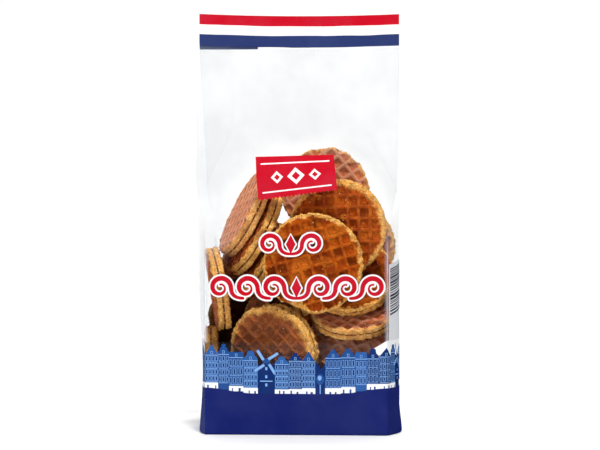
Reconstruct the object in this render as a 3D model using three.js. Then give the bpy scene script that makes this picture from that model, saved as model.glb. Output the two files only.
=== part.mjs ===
// A clear film bag of mini stroopwafels: block bottom, side gussets, back fin and a crimped top seal.
// Millimetres. +Z is up, the front panel faces -Y, and the base lies on z = 0, centred on the origin.
import * as THREE from 'three';

const { smoothstep, lerp, clamp } = THREE.MathUtils;

// The bag as a whole
const BAG_HEIGHT = 210;
const TOP_HALF_WIDTH = 50.5;      // where the bag is flat, at its top seal
const CREASE_HALF_WIDTH = 45;     // from the middle to a front crease, where the bag is full
const SHOULDER_HALF_WIDTH = 49.4; // the same at the shoulder, where the creases have run outwards
const FULL_HALF_DEPTH = 24;
const SEAL_HALF_THICKNESS = 0.6;

// Heights at which its form changes
const BASE_ROUNDING = 0.8;        // the folded edge round the base
const CREASES_START_OPENING = 94; // above here the creases run out to the flat width
const CREASES_END_OPENING = 128;
const SHOULDER = 112;             // above here the two panels lean towards each other
const GUSSET_FOLDED = 160;        // above here the gussets are folded inwards
const GUSSET_CLOSING = 184;       // the folds are shut between here and the seal
const SEAL_BOTTOM = 194;

// How far the film stands out of, or folds into, the plain block
const SHOULDER_ROUNDING = 0.3;    // the share of the lean that is a soft curve
const PANEL_BULGE = 2.6;
const GUSSET_FOLD = 18;
const LEFT_WAIST = 2.4;           // the left gusset is drawn in above the base
const LEFT_WAIST_HEIGHT = 32;
const LEFT_WAIST_SPREAD = 28;
const LEFT_FLARE = 0.2;           // how far each gusset stands out at the foot
const RIGHT_FLARE = 1.4;
const FOOT_HEIGHT = 15;

// The crimp of the top seal, and the fin that closes the bag down its back
const CRIMP_ROWS = 16;
const CRIMP_DEPTH = 0.3;
const FIN_HALF_WIDTH = 5;
const FIN_EDGE = 0.6;
const FIN_THICKNESS = 0.8;

// Waffles that lie against a panel press their round outline into it
const WAFFLE_RADIUS = 25;
const PRESS_EDGE = 3;
const FRONT_PRESSES = [
  { x: 9, z: 84, rise: 1.5 },
  { x: 20, z: 102, rise: 0.8 },
  { x: -12, z: 41, rise: 1.2 },
];
const BACK_PRESSES = [
  { x: -24, z: 68, rise: 0.8 },
  { x: -18, z: 23, rise: 0.6 },
  { x: 22, z: 49, rise: 0.6 },
  { x: 26, z: 93, rise: 0.9 },
];

// Rows and columns of the film's faces
const BODY_ROWS = 44;
const FRONT_COLUMNS = 24;
const GUSSET_COLUMNS = 10;
const BACK_SIDE_COLUMNS = 9;

// Bands of print, from the base up: the colour holds to the height given
const BANDS = [
  { top: 22.5, color: 0x222c6a },
  { top: 45, color: 0x40659d },
  { top: 146, color: 0xa5663a },
  { top: 193.7, color: 0xf2f4f4 },
  { top: 199.6, color: 0x354278 },
  { top: 204.6, color: 0xfbfcfc },
  { top: BAG_HEIGHT, color: 0xdb2338 },
];

// 0 at the shoulder and 1 at the seal: how far the panels have closed
function closing(z) {
  const t = clamp((z - SHOULDER) / (SEAL_BOTTOM - SHOULDER), 0, 1);
  const curved = t * t / (2 * SHOULDER_ROUNDING);
  const straight = t - SHOULDER_ROUNDING / 2;
  return (t < SHOULDER_ROUNDING ? curved : straight) / (1 - SHOULDER_ROUNDING / 2);
}

function creaseX(z) {
  const opened = smoothstep(z, CREASES_START_OPENING, CREASES_END_OPENING);
  const openWidth = lerp(SHOULDER_HALF_WIDTH, TOP_HALF_WIDTH, closing(z));
  return lerp(CREASE_HALF_WIDTH, openWidth, opened);
}

function halfDepth(z) {
  return lerp(FULL_HALF_DEPTH, SEAL_HALF_THICKNESS, closing(z));
}

// 0 where a gusset stands out over the waffles and 1 where it is folded inwards
function gussetFolding(z) {
  return smoothstep(z, SHOULDER, GUSSET_FOLDED);
}

// The middle of a gusset, as a distance from the middle of the bag. side is -1 left, 1 right.
function gussetX(z, side) {
  const fromWaist = (z - LEFT_WAIST_HEIGHT) / LEFT_WAIST_SPREAD;
  const waist = side < 0 ? LEFT_WAIST * Math.exp(-fromWaist * fromWaist) : 0;
  const flare = (side < 0 ? LEFT_FLARE : RIGHT_FLARE) * (1 - smoothstep(z, 0, FOOT_HEIGHT));
  const standingOut = TOP_HALF_WIDTH - waist + flare;
  const stillOpen = 1 - smoothstep(z, GUSSET_CLOSING, SEAL_BOTTOM);
  const foldedIn = creaseX(z) - GUSSET_FOLD * stillOpen;
  return lerp(standingOut, foldedIn, gussetFolding(z));
}

function pressRise(x, z, presses) {
  const rises = presses.map((press) => {
    const distance = Math.hypot(x - press.x, z - press.z);
    const inner = WAFFLE_RADIUS - PRESS_EDGE;
    return press.rise * (1 - smoothstep(distance, inner, WAFFLE_RADIUS + PRESS_EDGE));
  });
  return Math.max(...rises);
}

function crimp(z) {
  if (z <= SEAL_BOTTOM || z >= BAG_HEIGHT) return 0;
  const row = Math.round((z - SEAL_BOTTOM) / (BAG_HEIGHT - SEAL_BOTTOM) * CRIMP_ROWS);
  return row % 2 ? CRIMP_DEPTH : -CRIMP_DEPTH;
}

// How far a panel stands out of the plain block. The bulge fades towards creases, base and seal.
function panelRise(x, z, presses) {
  const across = 1 - (x / creaseX(z)) ** 2;
  const upwards = smoothstep(z, 0, 25) * (1 - smoothstep(z, SHOULDER, GUSSET_CLOSING));
  const clearOfCrease = smoothstep(across, 0, 0.2);
  return PANEL_BULGE * across * upwards + pressRise(x, z, presses) * clearOfCrease;
}

function frontPoint(share, z) {
  const x = creaseX(z) * share;
  return [x, crimp(z) - halfDepth(z) - panelRise(x, z, FRONT_PRESSES), z];
}

function backPoint(x, z) {
  const fin = Math.abs(x) <= FIN_HALF_WIDTH ? FIN_THICKNESS : 0;
  return [x, crimp(z) + halfDepth(z) + panelRise(x, z, BACK_PRESSES) + fin, z];
}

// share runs from -1 at the front crease to 1 at the back crease
function gussetPoint(side, share, z) {
  const roundness = lerp(2.2, 1, gussetFolding(z));
  const outwards = 1 - Math.abs(share) ** roundness;
  return [side * lerp(creaseX(z), gussetX(z, side), outwards), crimp(z) + halfDepth(z) * share, z];
}

// The back panel's columns from right to left, with a pair at each edge of the fin
function backColumns(z) {
  const finEdge = FIN_HALF_WIDTH + FIN_EDGE;
  const side = [];
  for (let i = 0; i <= BACK_SIDE_COLUMNS; i += 1) {
    side.push(lerp(creaseX(z), finEdge, i / BACK_SIDE_COLUMNS));
  }
  const mirrored = side.map((x) => -x).reverse();
  return [...side, FIN_HALF_WIDTH, 0, -FIN_HALF_WIDTH, ...mirrored];
}

// The base's folded edge: how much smaller the ring is than the block
function baseInset(z) {
  const t = clamp(z / BASE_ROUNDING, 0, 1);
  return BASE_ROUNDING * (1 - Math.sqrt(1 - (1 - t) ** 2));
}

// One ring of the film, counter-clockwise from the front left crease
function ring(z) {
  const points = [];
  for (let i = 0; i <= FRONT_COLUMNS; i += 1) points.push(frontPoint(2 * i / FRONT_COLUMNS - 1, z));
  for (let i = 1; i < GUSSET_COLUMNS; i += 1) points.push(gussetPoint(1, 2 * i / GUSSET_COLUMNS - 1, z));
  points.push(...backColumns(z).map((x) => backPoint(x, z)));
  for (let i = GUSSET_COLUMNS - 1; i > 0; i -= 1) points.push(gussetPoint(-1, 2 * i / GUSSET_COLUMNS - 1, z));
  const inset = baseInset(z);
  return points.map(([x, y, height]) => [
    x * (1 - inset / TOP_HALF_WIDTH),
    y * (1 - inset / FULL_HALF_DEPTH),
    height,
  ]);
}

function ringHeights() {
  const heights = [0, BASE_ROUNDING / 4, BASE_ROUNDING];
  for (let i = 1; i <= BODY_ROWS; i += 1) heights.push(lerp(BASE_ROUNDING, SEAL_BOTTOM, i / BODY_ROWS));
  for (let i = 1; i <= CRIMP_ROWS; i += 1) heights.push(lerp(SEAL_BOTTOM, BAG_HEIGHT, i / CRIMP_ROWS));
  return heights;
}

function bandColor(z) {
  return new THREE.Color(BANDS.find((band) => z <= band.top).color);
}

// A closed solid through a stack of rings, with a fan of faces over each end
function loftedGeometry(rings) {
  const count = rings[0].length;
  const faces = [];
  for (let row = 0; row + 1 < rings.length; row += 1) {
    for (let i = 0; i < count; i += 1) {
      const next = (i + 1) % count;
      const [a, b] = [row * count + i, row * count + next];
      faces.push(a, b, b + count, a, b + count, a + count);
    }
  }
  const bottomCentre = rings.length * count;
  const topCentre = bottomCentre + 1;
  const topRow = (rings.length - 1) * count;
  for (let i = 0; i < count; i += 1) {
    const next = (i + 1) % count;
    faces.push(bottomCentre, next, i, topCentre, topRow + i, topRow + next);
  }
  const points = [...rings.flat(), [0, 0, rings[0][0][2]], [0, 0, rings[rings.length - 1][0][2]]];
  const geometry = new THREE.BufferGeometry();
  geometry.setAttribute('position', new THREE.Float32BufferAttribute(points.flat(), 3));
  const colors = points.flatMap((point) => bandColor(point[2]).toArray());
  geometry.setAttribute('color', new THREE.Float32BufferAttribute(colors, 3));
  geometry.setIndex(faces);
  geometry.computeVertexNormals();
  return geometry;
}

function makeBag() {
  const film = new THREE.MeshStandardMaterial({ vertexColors: true, roughness: 0.3, metalness: 0 });
  const bag = new THREE.Mesh(loftedGeometry(ringHeights().map(ring)), film);
  bag.name = 'bag';
  return bag;
}

const stroopwafelBag = new THREE.Group();
stroopwafelBag.add(makeBag());

export default stroopwafelBag;
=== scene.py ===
# A clear film bag of mini stroopwafels: the film, its print, and the waffles inside it.
# Sizes are in millimetres until a mesh is made. +Z is up and the front panel faces -Y.
import math
import random

import bpy
import numpy as np
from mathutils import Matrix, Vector, noise
from mathutils.geometry import delaunay_2d_cdt


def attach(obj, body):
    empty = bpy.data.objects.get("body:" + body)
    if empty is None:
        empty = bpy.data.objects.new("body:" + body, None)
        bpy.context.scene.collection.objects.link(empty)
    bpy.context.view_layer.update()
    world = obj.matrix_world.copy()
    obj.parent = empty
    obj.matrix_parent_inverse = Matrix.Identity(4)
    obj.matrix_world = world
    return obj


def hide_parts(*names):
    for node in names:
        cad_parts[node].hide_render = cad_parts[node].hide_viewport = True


MM = 0.001

# ---- the bag's plain form, as in the CAD
TOP_HALF_WIDTH = 50.5
CREASE_HALF_WIDTH = 45.0
SHOULDER_HALF_WIDTH = 49.4
FULL_HALF_DEPTH = 24.0
SEAL_HALF_THICKNESS = 0.6
BASE_ROUNDING = 0.8
CREASES_START_OPENING = 94.0
CREASES_END_OPENING = 128.0
SHOULDER = 112.0
GUSSET_FOLDED = 160.0
GUSSET_CLOSING = 184.0
SEAL_BOTTOM = 194.0
BAG_HEIGHT = 210.0
CRIMP_ROWS = 16
CRIMP_DEPTH = 0.12        # finer than in the CAD
SHOULDER_ROUNDING = 0.3
PANEL_BULGE = 2.6
GUSSET_FOLD = 18.0
LEFT_WAIST = 2.4
LEFT_WAIST_HEIGHT = 32.0
LEFT_WAIST_SPREAD = 28.0
LEFT_FLARE = 0.2
RIGHT_FLARE = 1.4
FOOT_HEIGHT = 15.0
FIN_HALF_WIDTH = 5.0
FIN_EDGE = 0.6
FIN_THICKNESS = 0.8
GUSSET_ROUNDNESS = 2.2    # where a gusset stands out. A folded one is a straight V, at 1
FULL_BULGE_HEIGHT = 25.0  # where a panel has left the flat base and bulges fully

# The film unrolled: u runs round the bag from the front left crease, z up it
HALF_PANEL = CREASE_HALF_WIDTH
GUSSET_SPAN = 50.0
U_START = -HALF_PANEL
U_RIGHT = HALF_PANEL
U_BACK = U_RIGHT + GUSSET_SPAN
U_LEFT = U_BACK + 2 * HALF_PANEL
U_END = U_LEFT + GUSSET_SPAN
U_BACK_MIDDLE = U_BACK + HALF_PANEL
CREASES = (U_START, U_RIGHT, U_BACK, U_LEFT, U_END)

# ---- the waffles
WAFFLE_THICKNESS = 7.0
CARAMEL_HALF = 0.4
GRID_PITCH = 5.7
RIDGE_TOP = 0.4      # half the width of a ridge's flat crest
RIDGE_FOOT = 1.25    # from a ridge's middle to where its light colour ends
POCKET_DEPTH = 1.6
POCKET_ROUNDNESS = 2.6
FINE_OFFSETS = (0.0, 0.25, 0.55, 0.95, 1.5, 2.15, 2.85, 3.55, 4.2, 4.75, 5.15, 5.45)
COARSE_OFFSETS = (0.0, 0.35, 0.95, 1.8, 2.85, 3.9, 4.75, 5.35)

# The waffles that show. name: place of the middle, turn about Z, lean back and spin of the grid
# in degrees, radius, and tone from -1, dark, to 1, light
# A low tone darkens a waffle as painted shade where it lies in shade, and below -1 makes it nearly black; a
# high tone lays on it a painted pinkish glare of the film and painted light.
WAFFLES = {
    "front_middle": ((8.6, -23.2, 84.6), 0, -1, 16, 25.0, 0.0),
    "front_right": ((20.4, -14.8, 102.2), 0, -1, 0, 24.4, 0.1),
    "top": ((12.6, 7.5, 121.0), 0, 10, 35, 22.6, 0.8),
    "left_outer": ((-27.0, 1.0, 109.3), -72, 26, 10, 23.6, 1.0),
    "left_second": ((-22.6, -1.0, 99.8), -71, 28, 30, 23.6, 0.2),
    "left_third": ((-21.6, 2.4, 85.6), -70, 28, 60, 22.6, -0.3),
    "left_edge": ((-40.9, -3.0, 71.4), -79, -9, 0, 21.2, 0.3),
    "left_foot": ((-43.6, 2.5, 35.0), -86, -4, 0, 17.6, 0.3),
    "front_low": ((-11.6, -13.0, 40.6), -26, -8, 45, 24.2, -0.65),
    "right_1": ((25.4, -2.6, 77.6), 0, 38, 20, 23.2, 0.0),
    "right_2": ((27.6, -3.0, 59.0), 0, 62, 50, 22.0, 0.6),
    # right_3 lies in right_2's shade: its high tone is painted light.
    "right_3": ((26.6, -1.0, 45.0), 0, 46, 30, 22.4, 1.0),
    "right_4": ((26.0, -1.0, 34.6), 0, 46, 0, 22.4, 0.0),
    "right_5": ((25.4, -0.6, 24.2), 0, 46, 0, 22.0, 0.0),
    # inner_left's tone below -1 is painted shade: it fills the gaps behind the front waffles with near black.
    "inner_left": ((-23.4, 12.2, 55.0), 0, 3, 20, 24.0, -1.4),
    "back_left": ((-24.0, 20.6, 73.5), 0, 0, 30, 22.0, -0.8),
    "back_low": ((-18.0, 20.2, 22.8), 0, 0, 10, 22.4, 0.1),
    "back_right": ((20.0, 22.4, 49.4), 0, 0, 20, 23.2, -0.2),
    "back_top": ((27.6, 17.9, 92.6), -12, 2, 20, 21.4, 0.2),
}
FINE = ("front_middle", "front_right", "top", "left_outer", "front_low")
FRONT_GROUP = ("front_middle", "front_right", "front_low", "right_1", "right_2", "right_3")
# Straight breaks: the direction broken off, from the grid's axis, and its distance from the middle
BREAKS = {
    "left_second": ((math.radians(150), 13.0),),
    "left_third": ((math.radians(120), 7.0),),
    "left_edge": ((math.pi, 11.0),),
    "left_foot": ((math.pi, 5.0),),
    "back_top": ((math.radians(-110), 13.0),),
}
# Broken places in a rim: angle from the grid's axis, half width in degrees, depth
CHIPS = {
    "front_middle": ((223, 8, 5.6), (234, 8, 4.0), (243, 6, 2.0)),
    "front_low": ((60, 8, 1.0),),
    "top": ((12, 7, 1.6), (60, 12, 0.8), (95, 9, 1.2)),
}
# How wide a waffle's crumbly rim is, and the angle from the grid's axis where it is widest,
# where it isn't RIM_WIDTH all round
CRUMBLY = {"front_low": (5.8, 10), "front_right": (4.4, 50), "front_middle": (2.3, 25)}

# ---- small maths


def smoothstep(value, low, high):
    t = np.clip((value - low) / (high - low), 0, 1)
    return t * t * (3 - 2 * t)


def lerp(a, b, t):
    return a + (b - a) * t


def ring_angles(count, shift=0.0):
    """Angles in even steps round a circle."""
    return [2 * math.pi * (i + shift) / count for i in range(count)]


def polar(reach, angle):
    return reach * math.cos(angle), reach * math.sin(angle)


def column_at(angle, count):
    """Which of the even steps round a circle an angle falls in."""
    return int(angle % (2 * math.pi) / (2 * math.pi) * count) % count


def closing(z):
    """0 at the shoulder and 1 at the seal: how far the panels have closed."""
    t = np.clip((z - SHOULDER) / (SEAL_BOTTOM - SHOULDER), 0, 1)
    curved = t * t / (2 * SHOULDER_ROUNDING)
    straight = t - SHOULDER_ROUNDING / 2
    return np.where(t < SHOULDER_ROUNDING, curved, straight) / (1 - SHOULDER_ROUNDING / 2)


def crease_x(z):
    opened = smoothstep(z, CREASES_START_OPENING, CREASES_END_OPENING)
    open_width = lerp(SHOULDER_HALF_WIDTH, TOP_HALF_WIDTH, closing(z))
    return lerp(CREASE_HALF_WIDTH, open_width, opened)


def half_depth(z):
    return lerp(FULL_HALF_DEPTH, SEAL_HALF_THICKNESS, closing(z))


def gusset_folding(z):
    return smoothstep(z, SHOULDER, GUSSET_FOLDED)


def gusset_x(z, side):
    from_waist = (z - LEFT_WAIST_HEIGHT) / LEFT_WAIST_SPREAD
    waist = LEFT_WAIST * np.exp(-from_waist * from_waist) if side < 0 else 0
    flare = (LEFT_FLARE if side < 0 else RIGHT_FLARE) * (1 - smoothstep(z, 0, FOOT_HEIGHT))
    standing_out = TOP_HALF_WIDTH - waist + flare
    still_open = 1 - smoothstep(z, GUSSET_CLOSING, SEAL_BOTTOM)
    folded_in = crease_x(z) - GUSSET_FOLD * still_open
    return lerp(standing_out, folded_in, gusset_folding(z))


def panel_bulge(x, z):
    across = np.clip(1 - (x / crease_x(z)) ** 2, 0, 1)
    upwards = smoothstep(z, 0, FULL_BULGE_HEIGHT) * (1 - smoothstep(z, SHOULDER, GUSSET_CLOSING))
    return PANEL_BULGE * across * upwards


def gusset_surface(share, z, side):
    roundness = lerp(GUSSET_ROUNDNESS, 1.0, gusset_folding(z))
    outwards = 1 - np.abs(share) ** roundness
    return lerp(crease_x(z), gusset_x(z, side), outwards)


def crimp(z):
    """The ribs pressed across the top seal."""
    heights = np.linspace(SEAL_BOTTOM, BAG_HEIGHT, CRIMP_ROWS + 1)
    ribs = [0.0] + [CRIMP_DEPTH if row % 2 else -CRIMP_DEPTH for row in range(1, CRIMP_ROWS)] + [0.0]
    return np.interp(z, heights, ribs)


def plain_film(u, z):
    """The bag's plain form at (u, z), as x and y."""
    reach = crease_x(z)
    depth = half_depth(z)
    front_x = reach * u / HALF_PANEL
    front_y = -depth - panel_bulge(front_x, z)
    from_middle = u - U_BACK_MIDDLE
    fin_reach = FIN_HALF_WIDTH + FIN_EDGE
    beyond_fin = np.clip(np.abs(from_middle) - fin_reach, 0, None) / (HALF_PANEL - fin_reach)
    back_x = -np.sign(from_middle) * (
        np.minimum(np.abs(from_middle), fin_reach) + beyond_fin * (reach - fin_reach)
    )
    fin = FIN_THICKNESS * np.clip((fin_reach - np.abs(from_middle)) / FIN_EDGE, 0, 1)
    back_y = depth + panel_bulge(back_x, z) + fin
    right_share = np.clip((u - U_RIGHT) / GUSSET_SPAN * 2 - 1, -1, 1)
    left_share = np.clip(1 - (u - U_LEFT) / GUSSET_SPAN * 2, -1, 1)
    panels = [u <= U_RIGHT, u <= U_BACK, u <= U_LEFT]
    x = np.select(
        panels,
        [front_x, gusset_surface(right_share, z, 1), back_x],
        -gusset_surface(left_share, z, -1),
    )
    y = np.select(panels, [front_y, depth * right_share, back_y], depth * left_share)
    return x, y + crimp(z)


# ---- mesh helpers


def make_mesh(name, points, faces, attributes=None):
    """A smooth mesh object from points in millimetres, with float attributes at its points."""
    mesh = bpy.data.meshes.new(name)
    mesh.from_pydata((np.asarray(points) * MM).tolist(), [], faces)
    for key, values in (attributes or {}).items():
        layer = mesh.attributes.new(key, "FLOAT", "POINT")
        layer.data.foreach_set("value", np.asarray(values, dtype=np.float32))
    mesh.polygons.foreach_set("use_smooth", [True] * len(mesh.polygons))
    mesh.update()
    thing = bpy.data.objects.new(name, mesh)
    bpy.context.scene.collection.objects.link(thing)
    return thing


def finish_piece(thing, material):
    thing.data.materials.append(material)
    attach(thing, "root")


def strip(upper, lower, count):
    """Quads between two closed rows of points, given by the number of each row's first point."""
    return [
        [upper + i, lower + i, lower + (i + 1) % count, upper + (i + 1) % count]
        for i in range(count)
    ]


def fan(middle, start, count, flip=False):
    """Triangles from a closed row of points to one in its middle."""
    faces = [[middle, start + i, start + (i + 1) % count] for i in range(count)]
    return [face[::-1] for face in faces] if flip else faces


def noise_at(x, y, z):
    return noise.noise(Vector((x, y, z)))


# ---- waffles
OUTLINE_INSET = 0.5  # from a waffle's radius to its outline without wobble and crumbs
RIM_FALL = 0.7       # from there to the edge of its face
FACE_MARGIN = 0.55   # between that edge and the face's own points


def rim_radius(waffle, angle, seed):
    """The uneven, crumbly outline of one wafer."""
    across, along = polar(1, angle)

    def rough(scale, shift=0):
        return noise_at(across * scale, along * scale, seed + shift)

    bite = 0.0
    for middle, half_width, depth in waffle.chips:
        away = (math.degrees(angle) - middle + 180) % 360 - 180
        ragged = 1 + 0.35 * noise_at(away * 0.5, seed, 3.0)
        bite = max(bite, depth * ragged * float(1 - smoothstep(abs(away), half_width * 0.4, half_width)))
    reach = waffle.radius - OUTLINE_INSET + 0.35 * rough(1.3) - bite
    for direction, distance in waffle.breaks:
        facing = math.cos(angle - direction)
        if facing > 0.01:
            reach = min(reach, distance / facing + 0.5 * rough(6, 8))
    return reach + (0.5 * rough(11, 5) + 0.35 * rough(25))


def from_ridge(position):
    """How far a place is from the middle of the nearest ridge of the grid."""
    return abs((position + GRID_PITCH / 2) % GRID_PITCH - GRID_PITCH / 2)


def face_points(outline, offsets):
    """Points of a wafer's face on the lines of its grid, kept inside its outline."""
    lines = [number * GRID_PITCH + offset for number in range(-6, 6) for offset in offsets]

    def inside(px, py):
        column = column_at(math.atan2(py, px), len(outline))
        return math.hypot(px, py) < outline[column] - FACE_MARGIN

    return [(px, py) for px in lines for py in lines if inside(px, py)]


def triangulate_face(outline, inner):
    """Triangles over the outline's ring and the points inside it. The ring comes first."""
    count = len(outline)
    points = [polar(r, a) for r, a in zip(outline, ring_angles(count))] + inner
    flat = [Vector(p) for p in points]
    _, _, faces, origins, _, _ = delaunay_2d_cdt(flat, [], [list(range(count))], 1, 1e-6, True)
    return points, [[origins[i][0] for i in face] for face in faces]


# Rows down a wafer's rim: how far out, and the height as a share of the wafer's thickness
RIM_ROWS = (
    (0.3, 0.95), (0.5, 0.84), (0.6, 0.71), (0.65, 0.58), (0.64, 0.45),
    (0.58, 0.32), (0.5, 0.2), (0.36, 0.08), (0.05, 0.0),
)
FACE_DROP = 0.45     # how far the face falls towards its edge
RIM_WIDTH = 2.8      # of the crumbly band round the face
FINE_COLUMNS = 250
COARSE_COLUMNS = 160
WAFER_VALUES = ("ridge", "rim", "bake", "tone")
# Rows over the caramel's edge: how far out, and the height as a share of half its thickness
CARAMEL_ROWS = ((-0.12, 1.15), (0.1, 0.6), (0.16, 0.0), (0.1, -0.6), (-0.12, -1.15))
CARAMEL_COLUMNS = 120


def face_relief(px, py, from_rim, rim_width, seed, grid_shift):
    """How far the face lies below its ridges, how much it is ridge and rim there, and how baked it is."""

    def rough(scale, shift):
        return noise_at(px * scale, py * scale, seed + shift)

    warp = 0.4 * rough(0.06, 1)
    shake = 0.25 * rough(0.35, 11)
    across = px + grid_shift + warp + shake
    along = py + grid_shift - warp + shake
    away = min(from_ridge(across), from_ridge(along))
    column, row = math.floor(across / GRID_PITCH), math.floor(along / GRID_PITCH)
    pocket = noise_at(column * 3.7 + 0.5, row * 5.3 + 0.5, seed)
    rounded = 1 - (1 - max(0.0, away - RIDGE_TOP) / (GRID_PITCH / 2 - RIDGE_TOP)) ** POCKET_ROUNDNESS
    lined = float(1 - smoothstep(away, RIDGE_TOP, RIDGE_FOOT))
    ragged = 1.3 * rough(0.25, 6) + 0.7 * rough(0.9, 12)
    edge = float(1 - smoothstep(from_rim + ragged, 0.2, rim_width))
    crumb = 0.16 * rough(0.8, 2) + 0.1 * rough(2.1, 3)
    rough_rim = 0.4 * edge * rough(1.1, 7)
    worn_and_sheen = 0.5 + 0.5 * rough(0.16, 4)
    depth = POCKET_DEPTH * rounded * (1 - 0.5 * worn_and_sheen) * (1 - 0.6 * edge) * (1 + 0.6 * pocket)
    rounding = FACE_DROP * float(1 - smoothstep(from_rim, 0.3, 1.6))
    baked = 0.8 * pocket * (1 - lined) + 0.9 * rough(0.11, 14)
    return depth + rounding - crumb - rough_rim, lined, edge, baked


def make_wafer(waffle, seed, grid_shift, front):
    """One wafer lying on w = 0 with its grid upwards: points, faces and attributes."""
    columns = FINE_COLUMNS if waffle.fine else COARSE_COLUMNS
    offsets = FINE_OFFSETS if waffle.fine and front else COARSE_OFFSETS
    angles = ring_angles(columns)
    outline = [rim_radius(waffle, a, seed) - RIM_FALL for a in angles]
    flat, faces = triangulate_face(outline, face_points(outline, offsets))
    thickness = WAFFLE_THICKNESS / 2 - CARAMEL_HALF
    rows = []    # x, y and w of each point, with its ridge, rim and bake
    for px, py in flat:
        angle = math.atan2(py, px) % (2 * math.pi)
        from_rim = outline[column_at(angle, columns)] + 0.5 - math.hypot(px, py)
        drop, *values = face_relief(px, py, from_rim, waffle.rim_width(angle), seed, grid_shift)
        rows.append((px, py, thickness - drop, *values))
    start = 0
    for out, share in RIM_ROWS:
        following = len(rows)
        w = share * (thickness - FACE_DROP)
        for angle, reach in zip(angles, outline):
            across, along = polar(1, angle)
            rough = 0.75 * noise_at(across * 16, along * 16, w * 0.8 + seed)
            rough += 0.45 * noise_at(across * 38, along * 38, w * 1.9 + seed)
            r = reach + out + rough * (1 if share > 0 else 0.2)
            baked = 0.9 * noise_at(across * 4, along * 4, seed + 15)
            rows.append((r * across, r * along, w, 0.5 + rough * 1.6, 1.0 + 0.8 * (1 - share), baked))
        faces.extend(strip(start, following, columns))
        start = following
    rows.append((0.0,) * 6)
    faces.extend(fan(len(rows) - 1, start, columns, flip=True))
    rows = np.array(rows)
    return rows[:, :3], faces, dict(zip(WAFER_VALUES, (*rows[:, 3:].T, waffle.tone)))


def make_caramel(waffle, seed):
    """The caramel between the two wafers, oozing a little at its rim."""
    points = []
    for out, share in CARAMEL_ROWS:
        for angle in ring_angles(CARAMEL_COLUMNS):
            ooze = 0.7 * noise_at(*polar(3.5, angle), seed + 9)
            reach = rim_radius(waffle, angle, seed) - 0.75 + out + ooze
            points.append((*polar(reach, angle), share * CARAMEL_HALF))
    starts = range(0, len(points), CARAMEL_COLUMNS)
    faces = [face for a, b in zip(starts, starts[1:]) for face in strip(a, b, CARAMEL_COLUMNS)]
    for row, flip in ((0, False), (-1, True)):
        faces.extend(fan(len(points), starts[row], CARAMEL_COLUMNS, flip))
        points.append((0, 0, CARAMEL_ROWS[row][1] * CARAMEL_HALF))
    return np.array(points), faces


def waffle_axes(turn, lean, spin):
    """The waffle's own axes as columns: two along its grid and one out of its front face."""
    t, l, s = (math.radians(angle) for angle in (turn, lean, spin))
    out = np.array([math.sin(t) * math.cos(l), -math.cos(t) * math.cos(l), math.sin(l)])
    right = np.array([math.cos(t), math.sin(t), 0.0])
    up = np.cross(out, right)
    along = right * math.cos(s) + up * math.sin(s)
    return np.column_stack((along, np.cross(out, along), out))


class Heap:
    """Points, faces and attributes gathered from many small meshes."""

    def __init__(self, keys):
        self.points = []
        self.faces = []
        self.total = 0
        self.values = {key: [] for key in keys}

    def add(self, points, faces, values):
        self.faces.extend([[self.total + i for i in face] for face in faces])
        self.points.append(points)
        self.total += len(points)
        for key, value in values.items():
            self.values[key].append(np.broadcast_to(value, len(points)))

    def make(self, name):
        values = {key: np.concatenate(parts) for key, parts in self.values.items()}
        return make_mesh(name, np.concatenate(self.points), self.faces, values)


def past_break(px, py, one):
    """How far a place on a waffle lies past one of its straight breaks."""
    direction, distance = one
    return px * math.cos(direction) + py * math.sin(direction) - distance


SAMPLE_SHARES = (1.0, 0.8, 0.6, 0.35, 0.05)
SAMPLE_COLUMNS = 40


class Waffle:
    """One waffle's place and size, with what is chipped or broken off it."""

    def __init__(self, middle, turn, lean, spin, radius, tone, name="filler", breaks=()):
        self.middle = np.array(middle)
        self.axes = waffle_axes(turn, lean, spin)
        self.radius = radius
        self.tone = tone
        self.breaks = BREAKS.get(name, breaks)
        self.chips = CHIPS.get(name, ())
        self.fine = name in FINE
        self.crumbly = CRUMBLY.get(name)

    def rim_width(self, angle):
        if self.crumbly is None:
            return RIM_WIDTH
        width, widest = self.crumbly
        return width * (1 + 0.55 * math.cos(angle - math.radians(widest)))

    def placed(self, local):
        """Points on the waffle's own axes, as places in the bag."""
        return np.asarray(local) @ self.axes.T + self.middle

    def depth_of(self, points):
        """How deep the deepest of the points lies inside this waffle. Negative: all are clear of it."""
        px, py, w = ((points - self.middle) @ self.axes).T
        depth = np.minimum(WAFFLE_THICKNESS / 2 - np.abs(w), self.radius - np.hypot(px, py))
        for one in self.breaks:
            depth = np.minimum(depth, -past_break(px, py, one))
        return depth.max()

    def samples(self):
        """Points over its surface, for fitting it among the others."""
        local = []
        for share in SAMPLE_SHARES:
            heights = (-0.5, 0.0, 0.5) if share == 1.0 else (-0.5, 0.5)
            for angle in ring_angles(SAMPLE_COLUMNS):
                reach = self.radius * share
                for direction, distance in self.breaks:
                    facing = math.cos(angle - direction)
                    if facing > 0.01:
                        reach = min(reach, distance / facing)
                local.extend((*polar(reach, angle), height * WAFFLE_THICKNESS) for height in heights)
        return self.placed(local)


def past_plain_film(points):
    """For each side of the bag, the u of the points there and how far they stand out of the plain film."""
    x, y, z = points.T
    depth = half_depth(z)
    share = np.clip(y / depth, -1, 1)
    front_u = x / crease_x(z) * HALF_PANEL
    bulge = panel_bulge(x, z)
    return (
        (front_u, -y - depth - bulge),
        (U_RIGHT + (share + 1) / 2 * GUSSET_SPAN, x - gusset_surface(share, z, 1)),
        (U_BACK_MIDDLE - front_u, y - depth - bulge),
        (U_LEFT + (1 - share) / 2 * GUSSET_SPAN, -x - gusset_surface(share, z, -1)),
    )


def outside_film(points):
    """How far the furthest of the points stands outside the plain film."""
    return max(-points[:, 2].min(), *(outside.max() for _, outside in past_plain_film(points)))


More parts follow.
